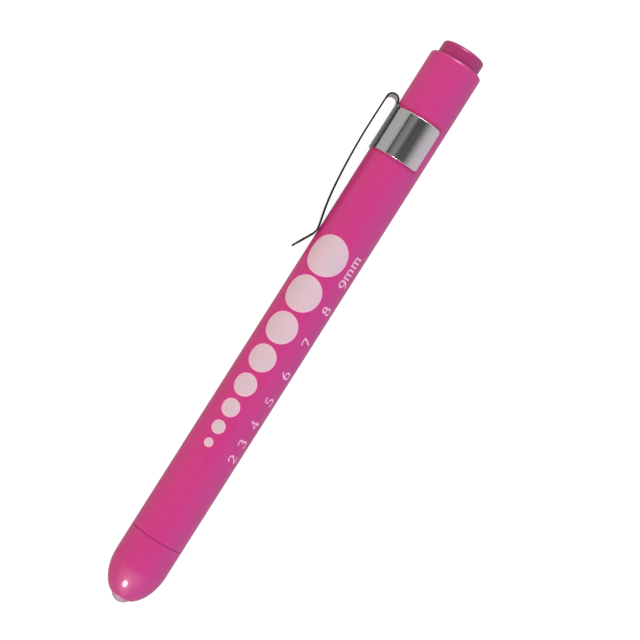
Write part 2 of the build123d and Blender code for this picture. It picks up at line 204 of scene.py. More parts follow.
# ---------------------------------------------------------------- material tools
class Finish:
    """One procedural material: a Principled surface, whose patterns are laid out in millimetres."""

    def __init__(self, name, **sockets):
        self.material = bpy.data.materials.new(name)
        self.material.use_nodes = True
        tree = self.material.node_tree
        self.nodes, self.links = tree.nodes, tree.links
        self.shader = next(n for n in self.nodes if n.type == "BSDF_PRINCIPLED")
        for socket, value in sockets.items():
            self.shader.inputs[socket.replace("_", " ")].default_value = value
        place = self.nodes.new("ShaderNodeTexCoord").outputs["Object"]
        self.place = self.scaled(place, (1 / mm,) * 3)

    def new(self, kind, **inputs):
        """A node with its inputs given by name, as values or as sockets to link."""
        node = self.nodes.new(kind)
        for name, value in inputs.items():
            self.feed(node.inputs[name.replace("_", " ")], value)
        return node

    def feed(self, socket, value):
        if isinstance(value, bpy.types.NodeSocket):
            self.links.new(value, socket)
        else:
            socket.default_value = value

    def scaled(self, vector, scale):
        return self.new("ShaderNodeMapping", Vector=vector, Scale=scale).outputs["Vector"]

    def noise(self, size, detail=2.0, stretch=(1, 1, 1), distortion=0.0):
        """Cloudy noise whose blotches are about size millimetres across, longer along stretched axes."""
        place = self.scaled(self.place, [1 / (size * s) for s in stretch])
        node = self.new("ShaderNodeTexNoise", Vector=place, Scale=1.0, Detail=detail,
                        Distortion=distortion)
        return node.outputs["Fac"]

    def cells(self, size):
        """Distance to the nearest of scattered points about size millimetres apart."""
        place = self.scaled(self.place, (1 / size,) * 3)
        return self.new("ShaderNodeTexVoronoi", Vector=place, Scale=1.0).outputs["Distance"]

    def spread(self, value, low, high, to_low, to_high):
        """The value's stretch from low to high, laid onto to_low to to_high and held at its ends."""
        node = self.new("ShaderNodeMapRange", Value=value)
        for index, number in enumerate((low, high, to_low, to_high), start=1):
            node.inputs[index].default_value = number
        return node.outputs["Result"]

    def maths(self, operation, a, b=0.0):
        node = self.nodes.new("ShaderNodeMath")
        node.operation = operation
        self.feed(node.inputs[0], a)
        self.feed(node.inputs[1], b)
        return node.outputs[0]

    def mix(self, factor, a, b):
        """Colour a where the factor is 0 and colour b where it is 1."""
        node = self.nodes.new("ShaderNodeMix")
        node.data_type = "RGBA"
        self.feed(node.inputs[0], factor)
        self.feed(node.inputs[6], a)
        self.feed(node.inputs[7], b)
        return node.outputs[2]

    def colour(self, value):
        self.feed(self.shader.inputs["Base Color"], value)

    def roughness(self, value):
        self.feed(self.shader.inputs["Roughness"], value)

    def bump(self, *layers):
        """Bumps one on another, each given as (height, depth in millimetres)."""
        below = None
        for height, depth in layers:
            node = self.new("ShaderNodeBump", Height=height, Distance=depth * mm)
            if below:
                self.links.new(below, node.inputs["Normal"])
            below = node.outputs["Normal"]
        self.links.new(below, self.shader.inputs["Normal"])

    def exposed_edge(self, low, high):
        """1 on outward edges and 0 elsewhere."""
        pointed = self.nodes.new("ShaderNodeNewGeometry").outputs["Pointiness"]
        return self.spread(pointed, low, high, 0.0, 1.0)


def shade(colour, factor):
    """The colour made lighter or darker."""
    return tuple(min(1.0, c * factor) for c in colour[:3]) + (1.0,)


# ---------------------------------------------------------------- materials
pink = (0.63, 0.045, 0.275, 1)
pink_warm = (0.65, 0.049, 0.265, 1)
pink_cool = (0.61, 0.043, 0.285, 1)
# Painted shade: a darker pink laid beside the clip's band stands in for the band's contact shadow.
painted_band_shade = (0.46, 0.018, 0.13, 1)
band_shade_reach = 1.1
band_shade_strength = 0.75
band_shade_fade_angle = 0.15


def lacquer(name, tint, roughness, band_shade_stretch=None):
    """Satin lacquer on aluminium: fine orange peel, faint handling marks and thin cover on sharp edges.

    The last argument is the stretch of the pen that the clip's band covers, from x to x, with the band's half
    angle.
    Beside that stretch, within the angle, the lacquer is darkened: painted shade, standing in for the band's
    contact shadow.
    """
    made = Finish(name, Metallic=0.0, Coat_Weight=0.5, Coat_Roughness=0.09, Specular_IOR_Level=0.2)
    cloud = made.noise(22, detail=1)
    pigment = made.noise(0.11, detail=3)
    body = made.mix(cloud, shade(pink_warm, tint), shade(pink_cool, tint))
    body = made.mix(made.spread(pigment, 0.35, 0.7, 0.0, 0.22), body, shade(pink, tint * 1.35))
    if band_shade_stretch:
        start, end, half_angle = band_shade_stretch
        along, across, up = made.new("ShaderNodeSeparateXYZ", Vector=made.place).outputs
        beyond = made.maths("MAXIMUM", made.maths("SUBTRACT", start / mm, along),
                            made.maths("SUBTRACT", along, end / mm))
        ragged = made.spread(made.noise(1.1, detail=3), 0.3, 0.7, -0.25, 0.25)
        blotched = made.maths("ADD", beyond, ragged)
        towards_clip = made.maths("ADD", made.maths("MULTIPLY", across, clip_axis.y * mm / pen_r),
                                  made.maths("MULTIPLY", up, clip_axis.z * mm / pen_r))
        no_cover, full_cover = math.cos(half_angle + band_shade_fade_angle), math.cos(half_angle)
        covered = made.spread(towards_clip, no_cover, full_cover, 0.0, 1.0)
        outside = made.maths("MULTIPLY", covered, made.spread(beyond, -0.15, 0.0, 0.0, 1.0))
        # Painted shade beside the band's edges, fading out within about a millimetre, with a ragged edge.
        band_shade = made.maths("MULTIPLY", outside, made.spread(blotched, 0.1, band_shade_reach, band_shade_strength, 0.0))
        body = made.mix(band_shade, body, painted_band_shade)
    patchy = made.spread(made.noise(0.5), 0.45, 0.6, 0, 0.5)
    thin_cover = made.maths("MULTIPLY", made.exposed_edge(0.56, 0.75), patchy)
    made.colour(made.mix(thin_cover, body, shade(pink_warm, tint * 1.9)))
    marks = made.noise(0.5, detail=4, stretch=(16, 1, 1))
    cloudy = made.noise(6, detail=3)
    polish = made.spread(cloudy, 0.3, 0.7, roughness - 0.04, roughness + 0.05)
    made.roughness(made.maths("ADD", polish, made.spread(marks, 0.62, 0.74, 0.0, 0.09)))
    peel = made.noise(0.75, detail=1)
    grain = made.noise(0.09, detail=2)
    made.bump((peel, 0.004), (grain, 0.0006), (marks, 0.0006))
    return made.material


def printing_ink():
    """Pad-printed ink: thin and slightly clouded, fuller where the mesh says rim, with a few pinholes."""
    made = Finish("printing_ink", Metallic=0.0, Specular_IOR_Level=0.4)
    thin, full = (0.72, 0.57, 0.70, 1), (1.0, 0.52, 0.76, 1)
    rim = made.nodes.new("ShaderNodeAttribute")
    rim.attribute_name = "rim"
    cloud = made.noise(2.2, detail=3)
    cover = made.maths("MAXIMUM", rim.outputs["Fac"], made.spread(cloud, 0.3, 0.8, 0.0, 0.3))
    body = made.mix(cover, thin, full)
    pinhole = made.spread(made.cells(0.55), 0.0, 0.09, 0.35, 0.0)
    made.colour(made.mix(pinhole, body, pink))
    made.roughness(made.spread(cloud, 0.3, 0.7, 0.42, 0.55))
    made.bump((made.noise(0.13, detail=3), 0.0012), (made.noise(1.1), 0.003))
    return made.material


def plated_spring_steel():
    """Bright nickel-chrome over rolled sheet: faint draw lines along the pen and a few specks."""
    made = Finish("plated_spring_steel", Metallic=1.0)
    cloud = made.noise(7, detail=2)
    made.colour(made.mix(cloud, (0.75, 0.75, 0.755, 1), (0.80, 0.795, 0.805, 1)))
    lines = made.noise(0.22, detail=4, stretch=(40, 1, 1))
    made.roughness(made.spread(lines, 0.3, 0.75, 0.07, 0.17))
    specks = made.spread(made.cells(0.9), 0.0, 0.05, 1.0, 0.0)
    made.bump((lines, 0.003), (made.noise(3.2, detail=2), 0.014), (specks, 0.002))
    return made.material


def sheared_edge():
    """The clip's cut edge: dull and dark, torn across the sheet's thickness."""
    made = Finish("sheared_edge", Metallic=1.0)
    tear = made.noise(0.05, detail=4, stretch=(1, 5, 5))
    dark, light = (0.02, 0.02, 0.021, 1), (0.06, 0.06, 0.062, 1)
    made.colour(made.mix(made.spread(tear, 0.35, 0.7, 0, 1), dark, light))
    made.roughness(made.spread(tear, 0.3, 0.7, 0.2, 0.36))
    made.bump((tear, 0.006))
    return made.material


def cast_epoxy():
    """The diode's clear cast body, polished by its mould."""
    # Painted reflection: the pink tint stands in for the pink nose seen through the clear epoxy.
    made = Finish("cast_epoxy", Transmission_Weight=0.4, IOR=1.53, Base_Color=(1.0, 0.58, 0.88, 1))
    made.roughness(made.spread(made.noise(0.8), 0.3, 0.7, 0.04, 0.09))
    made.bump((made.noise(0.9, detail=1), 0.003))
    return made.material


def plain_metal(name, dark, light, roughness, grain=0.07, stretch=(1, 1, 1), depth=0.001):
    """A plain or plated metal with its working marks."""
    made = Finish(name, Metallic=1.0)
    marks = made.noise(grain, detail=4, stretch=stretch)
    cloud = made.noise(2.5, detail=3)
    made.colour(made.mix(made.spread(cloud, 0.3, 0.7, 0, 1), dark, light))
    made.roughness(made.spread(marks, 0.3, 0.7, roughness - 0.06, roughness + 0.08))
    made.bump((marks, depth))
    return made.material


def moulded(name, colour, roughness, grain, depth, **sockets):
    """A moulded plastic with its mould's fine texture and slight flow clouds."""
    made = Finish(name, Metallic=0.0, **sockets)
    texture = made.noise(grain, detail=3)
    flow = made.noise(3, detail=2, distortion=0.6)
    made.colour(made.mix(flow, shade(colour, 0.88), shade(colour, 1.14)))
    made.roughness(made.spread(texture, 0.3, 0.7, roughness - 0.07, roughness + 0.07))
    made.bump((texture, depth))
    return made.material


def diode_phosphor():
    """Yellow phosphor slurry, set hard and slightly grainy."""
    made = Finish("diode_phosphor", Specular_IOR_Level=0.4)
    grains = made.cells(0.06)
    bright, deep = (0.92, 0.76, 0.16, 1), (0.72, 0.50, 0.06, 1)
    made.colour(made.mix(made.spread(grains, 0.1, 0.6, 0, 1), bright, deep))
    made.roughness(made.spread(grains, 0.1, 0.6, 0.45, 0.6))
    made.bump((grains, 0.01))
    return made.material


def circuit_board():
    """Green mask over woven glass: the weave shows through as a faint check."""
    made = Finish("circuit_board", Coat_Weight=0.3, Coat_Roughness=0.15)
    threads_per_mm = 2.2
    weave = made.nodes.new("ShaderNodeTexChecker")
    made.feed(weave.inputs["Vector"], made.scaled(made.place, (0, threads_per_mm, threads_per_mm)))
    made.feed(weave.inputs["Scale"], 1.0)
    green, light = (0.012, 0.115, 0.045, 1), (0.02, 0.16, 0.065, 1)
    patched = made.mix(made.maths("MULTIPLY", weave.outputs["Fac"], 0.5), green, light)
    made.colour(made.mix(made.spread(made.noise(1.5), 0.35, 0.7, 0, 0.5), patched, (0.03, 0.2, 0.09, 1)))
    made.roughness(made.spread(made.noise(0.3), 0.3, 0.7, 0.28, 0.4))
    made.bump((weave.outputs["Fac"], 0.004), (made.noise(0.2), 0.002))
    return made.material


def chip_resistor():
    """A black chip with tinned ends."""
    made = Finish("chip_resistor")
    tinned_from = 0.52
    across = made.new("ShaderNodeSeparateXYZ", Vector=made.place).outputs["Y"]
    tinned = made.maths("GREATER_THAN", made.maths("ABSOLUTE", across), tinned_from)
    made.colour(made.mix(tinned, (0.012, 0.012, 0.014, 1), (0.62, 0.62, 0.6, 1)))
    made.feed(made.shader.inputs["Metallic"], tinned)
    made.roughness(made.spread(made.noise(0.08), 0.3, 0.7, 0.3, 0.45))
    made.bump((made.noise(0.06, detail=3), 0.003))
    return made.material


def cell_jacket():
    """Shrunk film with no lettering: dark blue, with a copper-coloured band at the positive end."""
    made = Finish("cell_jacket", Coat_Weight=0.6, Coat_Roughness=0.08)
    copper_length = 11.0
    along = made.new("ShaderNodeSeparateXYZ", Vector=made.place).outputs["X"]
    cell_pitch = (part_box("front_cell_sleeve")[1].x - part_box("rear_cell_sleeve")[1].x) / mm
    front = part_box("front_cell_sleeve")[1].x / mm
    behind = made.maths("MODULO", made.maths("SUBTRACT", front + 0.001, along), cell_pitch)
    copper = made.maths("LESS_THAN", behind, copper_length)
    fleck = made.noise(0.05, detail=2)
    blue = made.mix(fleck, (0.012, 0.02, 0.05, 1), (0.022, 0.034, 0.075, 1))
    warm = made.mix(fleck, (0.50, 0.22, 0.09, 1), (0.64, 0.31, 0.14, 1))
    made.colour(made.mix(copper, blue, warm))
    made.feed(made.shader.inputs["Metallic"], made.maths("MULTIPLY", copper, 0.7))
    made.roughness(made.spread(made.noise(2, detail=3), 0.3, 0.7, 0.2, 0.34))
    made.bump((made.noise(1.6, detail=3, stretch=(3, 1, 1)), 0.006))
    return made.material


finishes = {
    "pink_lacquer": lacquer("pink_lacquer", 1.0, 0.34),
    "pink_button": lacquer("pink_button", 0.71, 0.36),
    "clip_plating": plated_spring_steel(),
    "clear_epoxy": cast_epoxy(),
    "lead_frame": plain_metal("lead_frame", (0.60, 0.60, 0.59, 1), (0.74, 0.73, 0.71, 1), 0.22),
    "phosphor": diode_phosphor(),
    "black_moulding": moulded("black_moulding", (0.022, 0.022, 0.024, 1), 0.5, 0.08, 0.004),
    "white_moulding": moulded("white_moulding", (0.76, 0.76, 0.73, 1), 0.38, 0.12, 0.002,
                              Subsurface_Weight=0.15),
    "board": circuit_board(),
    "resistor": chip_resistor(),
    "contact_brass": plain_metal("contact_brass", (0.52, 0.36, 0.13, 1), (0.72, 0.53, 0.22, 1), 0.27,
                                 grain=0.05),
    "spring_steel": plain_metal("spring_steel", (0.42, 0.42, 0.43, 1), (0.56, 0.56, 0.57, 1), 0.24,
                                grain=0.03),
    "cell_steel": plain_metal("cell_steel", (0.55, 0.54, 0.51, 1), (0.66, 0.65, 0.62, 1), 0.26,
                              stretch=(0.3, 1, 1)),
    "cell_paste": moulded("cell_paste", (0.03, 0.03, 0.032, 1), 0.75, 0.15, 0.02),
    "cell_nylon": moulded("cell_nylon", (0.10, 0.10, 0.11, 1), 0.45, 0.1, 0.003),
    "cell_jacket": cell_jacket(),
}
ink = printing_ink()
cut_edge = sheared_edge()
band_back, band_front = -102.4 * mm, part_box("clip_band")[1].x
band_half_angle = math.radians(136)
# The barrel's lacquer carries painted shade beside the clip's band.
barrel_lacquer = lacquer("barrel_lacquer", 1.0, 0.34, band_shade_stretch=(band_back, band_front, band_half_angle))
bare_aluminium = plain_metal("bare_aluminium", (0.62, 0.62, 0.63, 1), (0.74, 0.74, 0.75, 1), 0.3,
                             stretch=(0.3, 3, 3))

for part in frame["record"]["subparts"]:
    carried_over = frame["nodes"][part["node"]].data.materials
    carried_over.clear()
    carried_over.append(finishes[part["material_slot"]])


# ---------------------------------------------------------------- barrel, nose and button
thread_pitch = 0.75 * mm
thread_depth = 0.28 * mm
thread_run_out = 0.6 * mm
thread_rings = 90
crest_height, flank_slope = 1.25, 3.2


def thread(x, angle, start, end):
    """How far a right-hand thread stands out at a place: 0 at its root, thread_depth at its crest."""
    phase = (x / thread_pitch - angle / (2 * pi)) % 1.0
    ridge = min(1.0, max(0.0, crest_height - abs(phase - 0.5) * flank_slope))
    fade = min(1.0, max(0.0, min(x - start, end - x) / thread_run_out))
    return thread_depth * ridge * fade


bore_r = 5.4 * mm
lip_r = 4.95 * mm
lip_length = 1.0 * mm
seam_bevel = 0.09 * mm
seam_bevel_depth = 0.007 * mm
seam_corner = 0.006 * mm
seam_shoulder = 0.08 * mm
mouth_face = -0.004 * mm
mouth_flare = 0.15 * mm
mouth_thread_end = barrel_front - 6.4 * mm
mouth_thread_start = barrel_front - 0.4 * mm
barrel_groove = 0.24 * mm
lip_stretches = 8


def barrel_mouth(x, r, angle):
    """Cuts the thread's grooves into the wall inside the barrel's mouth."""
    if r > bore_r + 0.01 * mm or not mouth_thread_end < x < mouth_thread_start:
        return r
    ridge = thread(x, angle, mouth_thread_end, mouth_thread_start)
    fade = min(1.0, (x - mouth_thread_end) / thread_run_out, (mouth_thread_start - x) / thread_run_out)
    return r + barrel_groove * fade * (ridge / thread_depth)


barrel_outline = rounded([
    (mouth_face, pen_r - seam_bevel_depth, seam_corner),
    (mouth_face - seam_bevel, pen_r, seam_shoulder),
    (barrel_back, pen_r, 0.65 * mm),
    (barrel_back, lip_r, 0.12 * mm),
    (barrel_back + lip_length, lip_r, 0.08 * mm),
    (barrel_back + lip_length, bore_r, 0.1 * mm),
])
barrel_outline += [(x, bore_r) for x in steps_between(mouth_thread_end, mouth_thread_start, thread_rings)]
barrel_outline += [(barrel_front - 0.2 * mm, bore_r), (mouth_face, bore_r + mouth_flare)]
bore_begins = next(k for k, (x, r) in enumerate(barrel_outline) if r == bore_r)
barrel_inside = range(bore_begins - lip_stretches, len(barrel_outline) - 1)
piece("barrel_shell", lathe(barrel_outline, shape=barrel_mouth, bare=barrel_inside), "barrel",
      [barrel_lacquer, bare_aluminium], replaces=["barrel"])

ogive_start = 6.1 * mm
ogive_length = 8.825 * mm
spigot_r = 5.32 * mm
spigot_bore_r = 4.6 * mm
seat_r = 2.55 * mm
dome_r = 2.5 * mm
dome_centre = lens_front - dome_r
nose_lip = 0.12 * mm
seat_steps = 8
flange_play = 0.05 * mm
relief = 0.9 * mm
spigot_thread_start, spigot_thread_end = nose_back + 0.2 * mm, -relief


def nose_spigot(x, r, angle):
    """Raises the thread on the nose's spigot, whose crests reach the spigot's full radius."""
    if abs(r - spigot_r) > 0.01 * mm or not nose_back < x < -0.1 * mm:
        return r
    return r - thread_depth + thread(x, angle, spigot_thread_start, spigot_thread_end)


def ogive(x):
    """The nose's outer radius."""
    return pen_r * math.sqrt(1 - ((x - ogive_start) / ogive_length) ** 2)


flange_seat = lens_back + 1.05 * mm
nose_outline = rounded([
    (0, spigot_r - thread_depth, 0.08 * mm),
    (0, pen_r - seam_bevel_depth, seam_corner),
    (seam_bevel, pen_r, seam_shoulder),
    (ogive_start, pen_r, 0),
])
lip_back = nose_front - nose_lip
for turn in steps_between(0, pi / 2, 30)[1:]:
    x = ogive_start + (lip_back - ogive_start) * math.sin(turn)
    nose_outline.append((x, ogive(x)))
mouth_r = math.sqrt(seat_r ** 2 - (nose_front - dome_centre) ** 2)
lip_middle = (ogive(lip_back) + mouth_r) / 2
nose_outline += [
    (nose_front - nose_lip / 4, lip_middle + (ogive(lip_back) - lip_middle) * 0.6),
    (nose_front, lip_middle),
    (nose_front - nose_lip / 4, mouth_r + 0.02 * mm),
]
seat_begins = math.acos((lip_back - dome_centre) / seat_r)
nose_outline += [(dome_centre + seat_r * math.cos(a), seat_r * math.sin(a))
                 for a in steps_between(seat_begins, pi / 2, seat_steps)]
inside_begins = len(nose_outline) - seat_steps
nose_outline += rounded([
    (flange_seat, seat_r, 0.05 * mm),
    (flange_seat, lens_flange_r + flange_play, 0.05 * mm),
    (lens_back + flange_play, lens_flange_r + flange_play, 0.05 * mm),
    (lens_back + flange_play, spigot_bore_r, 0.1 * mm),
    (nose_back, spigot_bore_r, 0.12 * mm),
])
nose_outline += [(nose_back, spigot_r - thread_depth - 0.1 * mm)]
nose_outline += [(x, spigot_r) for x in steps_between(nose_back + 0.1 * mm, -0.12 * mm, thread_rings)]
nose_inside = range(inside_begins, len(nose_outline) - 1)
piece("nose_shell", lathe(nose_outline, shape=nose_spigot, bare=nose_inside), "nose",
      [finishes["pink_lacquer"], bare_aluminium], replaces=["nose_cap"])

button_crown = 0.06 * mm
button_wall = 0.7 * mm
button_edge = 0.65 * mm


def button_outline():
    """A cup with a slightly crowned end, open towards the nose."""
    crown_r = button_r - button_edge
    rise = [(button_back + button_crown * (r / crown_r) ** 2, r) for r in steps_between(0, crown_r, 12)]
    edge = rounded([
        (button_back + button_crown, button_r - 2 * button_edge, 0),
        (button_back + button_crown, button_r, button_edge),
        (button_front, button_r, 0.05 * mm),
        (button_front, button_r - button_wall, 0.05 * mm),
        (button_back + button_wall, button_r - button_wall, 0.2 * mm),
        (button_back + button_wall, 0, 0),
    ])[1:]
    return rise[:-1] + edge


piece("button_shell", lathe(button_outline(), segments=160), "button", [finishes["pink_button"]],
      replaces=["button_cap"])

flange_length = 1.0 * mm
lens_outline = rounded([
    (lens_back, 0, 0),
    (lens_back, lens_flange_r, 0.12 * mm),
    (lens_back + flange_length, lens_flange_r, 0.15 * mm),
    (lens_back + flange_length, dome_r, 0.1 * mm),
    (dome_centre, dome_r, 0),
])
lens_outline += [(dome_centre + dome_r * math.sin(a), dome_r * math.cos(a))
                 for a in steps_between(0, pi / 2, 32)[1:]]
flat_draft = 0.04


def flange_flat(x, r, angle):
    """Cuts the flat that marks the cathode's side of the flange, with a slight draft as moulded."""
    side = -r * math.cos(angle)
    if x > lens_back + flange_length * 1.05 or side <= dome_r:
        return r
    return (dome_r + (side - dome_r) * flat_draft) / -math.cos(angle)


piece("diode_body", lathe(lens_outline, segments=128, shape=flange_flat), "nose",
      [finishes["clear_epoxy"]], replaces=["led_lens"])


# ---------------------------------------------------------------- clip, folded from one flat blank
sheet = 0.38 * mm
band_mid_r = pen_r + 0.02 * mm + sheet / 2
band_half = band_half_angle * band_mid_r
band_corner = 0.8 * mm
arm_half = 2.8 * mm
root_fillet = 0.5 * mm
neck = 0.63 * mm
hairpin_r = 1.31 * mm
tip_corner = 1.4 * mm
edge_row = 0.16 * mm
broken_edge = 0.11 * mm
hairpin_x, hairpin_middle_r = (band_back - neck) / mm, (band_mid_r + hairpin_r) / mm
bow_knots = [(hairpin_x, hairpin_middle_r + hairpin_r / mm), (-96.5, 8.86), (-86.0, 8.415), (-75.5, 6.94)]
bow_slopes = [0.0, 0.0, -0.079, -0.24]
toe_place = (-71.63, 6.01)
toe_end_x = -66.3
toe_rise = math.radians(28.2)
toe_bend = 3.3


def corner_cut(corner_r, distance):
    """How far a round corner's outline stands back, at a distance from the edge that the corner meets."""
    return corner_r - math.sqrt(max(0.0, corner_r ** 2 - max(0.0, corner_r - distance) ** 2))


def bow_point(x):
    """The arm's distance from the pen's axis at a place on its long bow, both in millimetres."""
    for (x0, r0), (x1, r1), m0, m1 in zip(bow_knots, bow_knots[1:], bow_slopes, bow_slopes[1:]):
        if x <= x1:
            break
    h = x1 - x0
    t = (x - x0) / h
    return (r0 * (1 + 2 * t) * (1 - t) ** 2 + m0 * h * t * (1 - t) ** 2
            + r1 * t * t * (3 - 2 * t) + m1 * h * t * t * (t - 1))


def clip_line():
    """The side view of the clip's middle surface behind the band: points (x, r), in metres."""
    hairpin_centre = Vector((hairpin_x, hairpin_middle_r))
    line = [Vector((band_back / mm - d, band_mid_r / mm)) for d in steps_between(0, neck / mm, 6)[:-1]]
    line += [hairpin_centre + Vector((-math.sin(a), -math.cos(a))) * (hairpin_r / mm)
             for a in steps_between(0, pi, 28)]
    line += [Vector((x, bow_point(x))) for x in steps_between(hairpin_x, bow_knots[-1][0], 70)[1:]]
    toe = Vector(toe_place)
    toe_tip = toe + Vector((1, math.tan(toe_rise))) * (toe_end_x - toe_place[0])
    bend, _, on, _ = rounded_corner(line[-1], toe, toe_tip, toe_bend, 10)
    line += [line[-1].lerp(bend[0], t) for t in steps_between(0, 1, 5)[1:-1]] + bend
    corner_start = toe_tip - on * (tip_corner / mm)
    line += [line[-1].lerp(corner_start, t) for t in steps_between(0, 1, 8)[1:]]
    last_turn = math.asin(1 - edge_row / tip_corner)
    line += [corner_start + on * (tip_corner / mm) * math.sin(a)
             for a in steps_between(0, last_turn, 8)[1:]]
    line.append(toe_tip)
    return [p * mm for p in line]


def folded_clip():
    """One sheet: the band's wings and the strip share their vertices along the band's back edge."""
    outward = clip_axis
    side = Vector((1, 0, 0)).cross(outward)
    blank = bmesh.new()

    def on_band(x, w):
        a = w / band_mid_r
        return Vector((x, 0, 0)) + (outward * math.cos(a) + side * math.sin(a)) * band_mid_r

    strip_columns = steps_between(-1, 1, 16)
    root_half = arm_half + root_fillet
    wing_step = (band_half - root_half) / 40
    wing = [root_half + wing_step * k for k in range(1, 41)]
    columns = [-w for w in reversed(wing)] + [root_half * c for c in strip_columns] + wing
    squeeze_from = band_half - 2 * band_corner

    def squeezed(w, edge_distance):
        """Pulls a column in where the band's corner is round."""
        share = max(0.0, abs(w) - squeeze_from) / (band_half - squeeze_from)
        return math.copysign(abs(w) - corner_cut(band_corner, edge_distance) * share, w)

    first_turn = math.acos(1 - edge_row / band_corner)
    corner_run = [0.0] + [band_corner * (1 - math.cos(a)) for a in steps_between(first_turn, pi / 2, 6)]
    band_length = band_front - band_back
    middle_run = steps_between(band_corner, band_length - band_corner, 16)[1:-1]
    depths = corner_run + middle_run + [band_length - d for d in reversed(corner_run)]
    rows = []
    for depth in depths:
        edge_distance = min(depth, band_length - depth)
        rows.append([blank.verts.new(on_band(band_front - depth, squeezed(w, edge_distance)))
                     for w in columns])
    for upper, lower in zip(rows, rows[1:]):
        for i in range(len(columns) - 1):
            blank.faces.new((upper[i], upper[i + 1], lower[i + 1], lower[i]))

    line = clip_line()
    lengths = [0.0]
    for a, b in zip(line, line[1:]):
        lengths.append(lengths[-1] + (b - a).length)
    total = lengths[-1]
    previous = rows[-1][len(wing):-len(wing)]
    for k in range(1, len(line)):
        tangent = (line[min(k + 1, len(line) - 1)] - line[k - 1]).normalized()
        inward = Vector((-tangent.y, tangent.x))
        travelled, left = lengths[k], total - lengths[k]
        half = arm_half + corner_cut(root_fillet, travelled)
        if left < tip_corner:
            half = arm_half - corner_cut(tip_corner, left)
        flat = min(1.0, travelled / neck)
        bend = (1 - flat * flat * (3 - 2 * flat)) / band_mid_r
        row = []
        for c in strip_columns:
            w = half * c
            across = math.sin(bend * w) / bend if bend > 1 else w
            drop = (1 - math.cos(bend * w)) / bend if bend > 1 else 0.0
            x, r = line[k] + inward * drop
            row.append(blank.verts.new(Vector((x, 0, 0)) + outward * r + side * across))
        for i in range(len(row) - 1):
            blank.faces.new((previous[i], previous[i + 1], row[i + 1], row[i]))
        previous = row
    return blank


def made_solid(obj, thickness, edge):
    """Gives a sheet its thickness and broken edges, and keeps the result as the object's own mesh."""
    thick = obj.modifiers.new("thickness", "SOLIDIFY")
    thick.thickness = thickness
    thick.offset = 0
    thick.use_even_offset = True
    thick.material_offset_rim = 1
    broken = obj.modifiers.new("broken_edges", "BEVEL")
    broken.width = edge
    broken.segments = 2
    broken.limit_method = "ANGLE"
    broken.angle_limit = math.radians(50)
    broken.material = 1
    smooth = obj.modifiers.new("smooth", "WEIGHTED_NORMAL")
    smooth.keep_sharp = True
    found = obj.evaluated_get(bpy.context.evaluated_depsgraph_get())
    solid = bpy.data.meshes.new_from_object(found)
    obj.modifiers.clear()
    obj.data = solid


clip = piece("pocket_clip", folded_clip(), None, [finishes["clip_plating"], cut_edge],
             replaces=["clip_band", "clip_arm"])
made_solid(clip, sheet, broken_edge)

# The band's rims are plated like its faces. Only the arm keeps its dark sheared edge.
rim_margin = 0.1 * mm
for face in clip.data.polygons:
    along_band = band_back - rim_margin < face.center.x < band_front + rim_margin
    if along_band and math.hypot(face.center.y, face.center.z) < band_mid_r + sheet:
        face.material_index = 0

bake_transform(clip)


# ---------------------------------------------------------------- printed gauge
ink_height = 0.012 * mm
ink_depth = 0.02 * mm
rim_width = 0.4 * mm
rim_height, edge_height = 1.3 * ink_height, 0.7 * ink_height
dots_angle = clip_angle - math.radians(73.6)
figures_angle = clip_angle - math.radians(138.2)
first_dot_x = -22.8 * mm
first_gap, gap_shrink = 1.25 * mm, 0.09 * mm
dot_sizes = range(2, 10)


def wrapped(x, across, height, angle):
    """A point printed at x, the distance across further round from an angle, a height above the barrel."""
    turn = angle - across / pen_r
    r = pen_r + height
    return Vector((x, r * math.cos(turn), r * math.sin(turn)))


def with_underside(ink_mesh, faces):
    """Closes a patch of ink with sides, and with an underside that lies just inside the barrel's surface."""
    below = {}
    for vertex in (v for face in faces for v in face.verts):
        if vertex not in below:
            sunk = vertex.co.copy()
            sunk.yz = sunk.yz * ((pen_r - ink_depth) / math.hypot(sunk.y, sunk.z))
            below[vertex] = ink_mesh.verts.new(sunk, vertex)
    outline = [loop for face in faces for loop in face.loops if loop.edge.is_boundary]
    for a, b in [(loop.vert, loop.link_loop_next.vert) for loop in outline]:
        ink_mesh.faces.new((b, a, below[a], below[b]))
    for face in faces:
        ink_mesh.faces.new([below[v] for v in reversed(face.verts)])


def printed_dot(ink_mesh, rim, centre_x, radius):
    """A thin disc of ink laid round the barrel, slightly fuller along its rim."""
    count = max(40, int(radius / mm * 36))
    inner = 1 - rim_width / radius
    shares = steps_between(0, inner, max(3, int(radius / mm * 3))) + steps_between(inner, 1.0, 5)[1:]
    middle = ink_mesh.verts.new(wrapped(centre_x, 0, ink_height, dots_angle))
    previous, made = None, []
    for share in shares[1:]:
        height = edge_height if share == 1 else rim_height if share > inner else ink_height
        ring = []
        for i in range(count):
            a = 2 * pi * i / count
            x, across = centre_x + radius * share * math.cos(a), radius * share * math.sin(a)
            vertex = ink_mesh.verts.new(wrapped(x, across, height, dots_angle))
            vertex[rim] = max(0.0, 1 - radius * (1 - share) / rim_width)
            ring.append(vertex)
        for i in range(count):
            j = (i + 1) % count
            corners = (previous[i], ring[i], ring[j], previous[j]) if previous else (middle, ring[i], ring[j])
            made.append(ink_mesh.faces.new(corners))
        previous = ring
    with_underside(ink_mesh, made)


dot_places = []
place = first_dot_x
for k, size in enumerate(dot_sizes):
    if k:
        half_dots = (size + size - 1) / 2 * mm
        place -= half_dots + first_gap - gap_shrink * (k - 1)
    dot_places.append(place)

dots = bmesh.new()
rim_layer = dots.verts.layers.float.new("rim")
for size, centre_x in zip(dot_sizes, dot_places):
    printed_dot(dots, rim_layer, centre_x, size / 2 * mm)
piece("gauge_dots", dots, "barrel", [ink])


